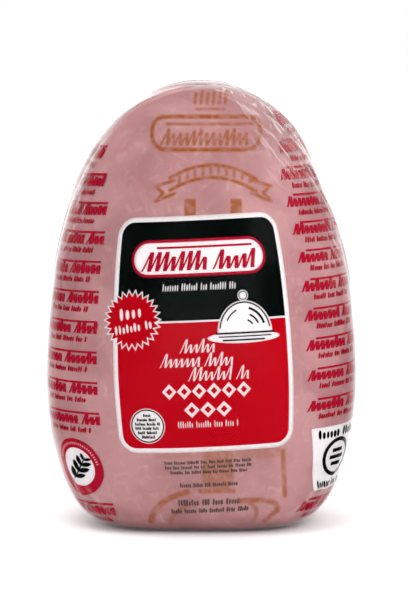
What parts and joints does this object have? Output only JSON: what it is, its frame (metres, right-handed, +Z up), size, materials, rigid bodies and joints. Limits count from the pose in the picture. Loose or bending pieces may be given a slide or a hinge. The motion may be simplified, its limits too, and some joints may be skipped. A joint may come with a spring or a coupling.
{
  "type": "cooked ham",
  "caption": "Whole boneless cooked ham, egg-shaped and pressed, standing on its flat butt end in a clear printed shrink bag.",
  "frame": {"origin": "under the middle of the part, on the surface that its flat butt end stands on", "axes": "+Z up from the butt end to the narrow crown, X across the ham's width, -Y the printed front, +Y the back where the bag's flap lies"},
  "size_m": [0.211, 0.142, 0.2998],
  "materials": {
    "meat": "moist pink cooked meat, faintly mottled, with brown print stains",
    "bag_film": "clear glossy shrink film, shallow wrinkles, heat-sealed mouth",
    "white_ink": "opaque white ink on glossy film",
    "red_ink": "bright red ink on glossy film",
    "black_ink": "black ink on glossy film",
    "brown_ink": "thin dark ink that lets some of the meat's colour through"
  },
  "bodies": {
    "root": {"cooked_ham": "meat", "shrink_bag": "bag_film"}
  },
  "joints": []
}
